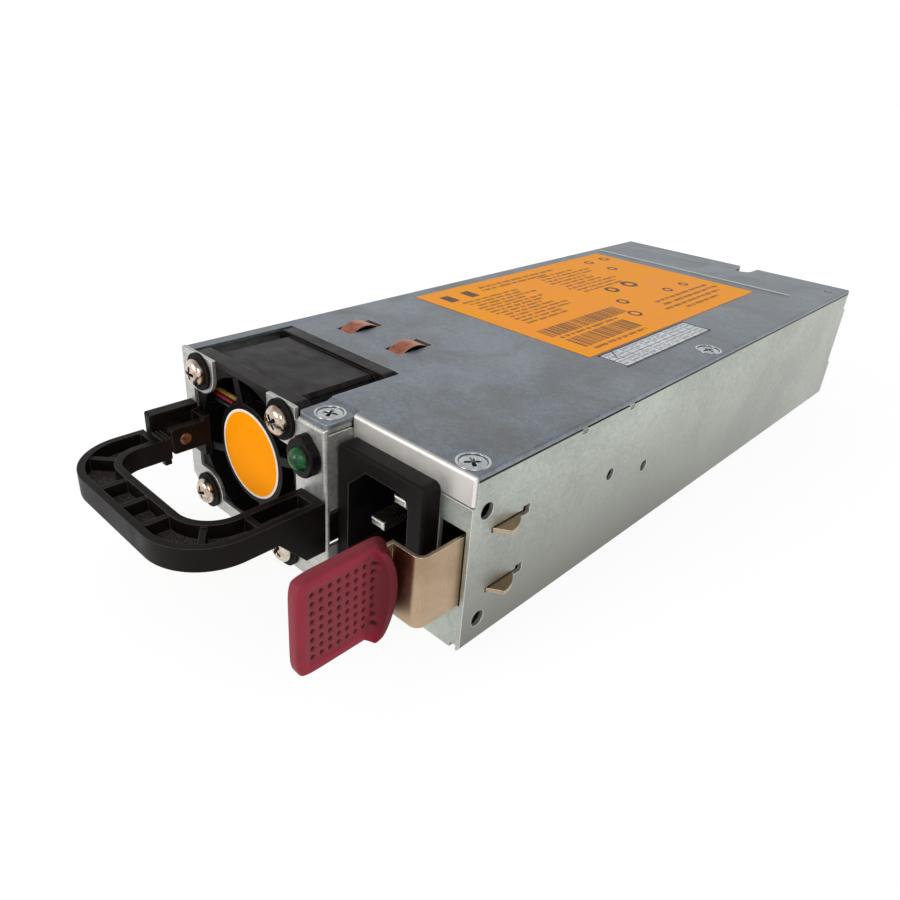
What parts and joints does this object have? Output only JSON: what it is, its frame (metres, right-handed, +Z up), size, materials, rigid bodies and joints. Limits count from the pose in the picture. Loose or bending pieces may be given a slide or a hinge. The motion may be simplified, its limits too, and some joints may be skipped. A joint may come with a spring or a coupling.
{
  "type": "hot swap server power supply",
  "caption": "Flat sheet steel power supply case with a front fan, carrying loop, mains inlet, sprung release latch, status lamp and a rear card connector.",
  "frame": {"origin": "middle of the case's bottom face", "axes": "+X towards the mains inlet's side seen from the front, +Y towards the rear and the card connector, +Z up"},
  "size_m": [0.089, 0.245, 0.0415],
  "materials": {
    "tray_steel": "galvanised sheet steel, matte",
    "cover_steel": "galvanised sheet steel, bluish grey",
    "bracket_steel": "galvanised sheet steel",
    "screw_steel": "zinc plated",
    "fan_plastic": "fine grained black",
    "rotor_plastic": "black",
    "magnet": "bonded ferrite",
    "shaft_steel": "ground",
    "lamination": "stamped stack",
    "coil_copper": "enamelled copper wire",
    "hub_paper": "orange with a white rim",
    "rubber_black": "matte",
    "lead_yellow": "insulation",
    "lead_black": "insulation",
    "lead_red": "insulation",
    "plug_plastic": "ivory nylon",
    "lamp_plastic": "translucent green dome",
    "holder_plastic": "black",
    "handle_plastic": "glass filled nylon, brown black",
    "pin_copper": "copper coloured",
    "inlet_plastic": "moulded black",
    "blade_nickel": "nickel plated brass",
    "mains_sleeve": "insulation",
    "latch_steel": "tan spring steel",
    "grip_plastic": "soft maroon",
    "finger_copper": "beryllium copper",
    "label_orange": "satin film",
    "label_white": "satin film",
    "board_laminate": "green solder mask",
    "contact_gold": "hard gold",
    "insulator_film": "translucent film",
    "core_ferrite": "coated ring core",
    "winding_copper": "enamelled copper",
    "box_plastic": "yellow case",
    "fuse_ceramic": "white tube",
    "sink_aluminium": "milled",
    "package_plastic": "epoxy",
    "can_sleeve": "dark blue sleeve",
    "ferrite_grey": "ferrite",
    "tape_yellow": "polyester tape",
    "bar_copper": "tinned edge"
  },
  "bodies": {
    "base": {"chassis_tray": "tray_steel", "top_cover": "cover_steel", "cover_screws": "screw_steel", "front_bracket": "bracket_steel", "fan_frame": "fan_plastic", "fan_bearings": "shaft_steel", "fan_stator": "lamination", "fan_coils": "coil_copper", "fan_hub_label": "hub_paper", "fan_grommets": "rubber_black", "fan_screws": "screw_steel", "fan_connector": "plug_plastic", "fan_lead_yellow": "lead_yellow", "fan_lead_black": "lead_black", "fan_lead_red": "lead_red", "lamp_holder": "holder_plastic", "lamp_lens": "lamp_plastic", "lamp_leads": "lead_black", "handle": "handle_plastic", "handle_lug": "handle_plastic", "handle_pin": "pin_copper", "inlet_housing": "inlet_plastic", "inlet_line_pins": "blade_nickel", "inlet_earth_pin": "blade_nickel", "inlet_wires": "mains_sleeve", "latch_root": "latch_steel", "latch_rivets": "screw_steel", "finger_strip": "finger_copper", "rating_label": "label_orange", "check_label": "label_white", "main_board": "board_laminate", "edge_contacts": "contact_gold", "insulator_sheet": "insulator_film", "board_standoffs": "screw_steel", "board_screws": "screw_steel", "choke_cores": "core_ferrite", "choke_windings": "winding_copper", "x_capacitors": "box_plastic", "fuse": "fuse_ceramic", "primary_heatsink": "sink_aluminium", "secondary_heatsink": "sink_aluminium", "primary_transistors": "package_plastic", "bridge_rectifier": "package_plastic", "output_rectifiers": "package_plastic", "bulk_capacitor": "can_sleeve", "transformer_core": "ferrite_grey", "transformer_winding": "tape_yellow", "output_choke": "ferrite_grey", "output_capacitors": "can_sleeve", "bus_bars": "bar_copper", "control_board": "board_laminate", "control_chips": "package_plastic"},
    "rotor": {"fan_rotor": "rotor_plastic", "fan_magnet": "magnet", "fan_shaft": "shaft_steel"},
    "latch": {"latch_spring": "latch_steel", "latch_grip": "grip_plastic"},
    "finger_left_body": {"finger_left": "finger_copper"},
    "finger_right_body": {"finger_right": "finger_copper"}
  },
  "joints": [
    {"name": "fan_spin", "type": "hinge", "parent": "base", "child": "rotor", "pos_m": [-0.0193, -0.0902, 0.02], "axis": [0, 1, 0], "continuous": true},
    {"name": "latch_release", "type": "hinge", "parent": "base", "child": "latch", "pos_m": [0.0414, -0.052, 0.01935], "axis": [0, 0, 1], "range_deg": [-5, 0], "stiffness_Nm_per_rad": 8},
    {"name": "finger_left_press", "type": "hinge", "parent": "base", "child": "finger_left_body", "pos_m": [-0.0283, -0.054, 0.03868], "axis": [1, 0, 0], "range_deg": [0, 6], "stiffness_Nm_per_rad": 0.05},
    {"name": "finger_right_press", "type": "hinge", "parent": "base", "child": "finger_right_body", "pos_m": [-0.01, -0.054, 0.03868], "axis": [1, 0, 0], "range_deg": [0, 6], "stiffness_Nm_per_rad": 0.05}
  ]
}
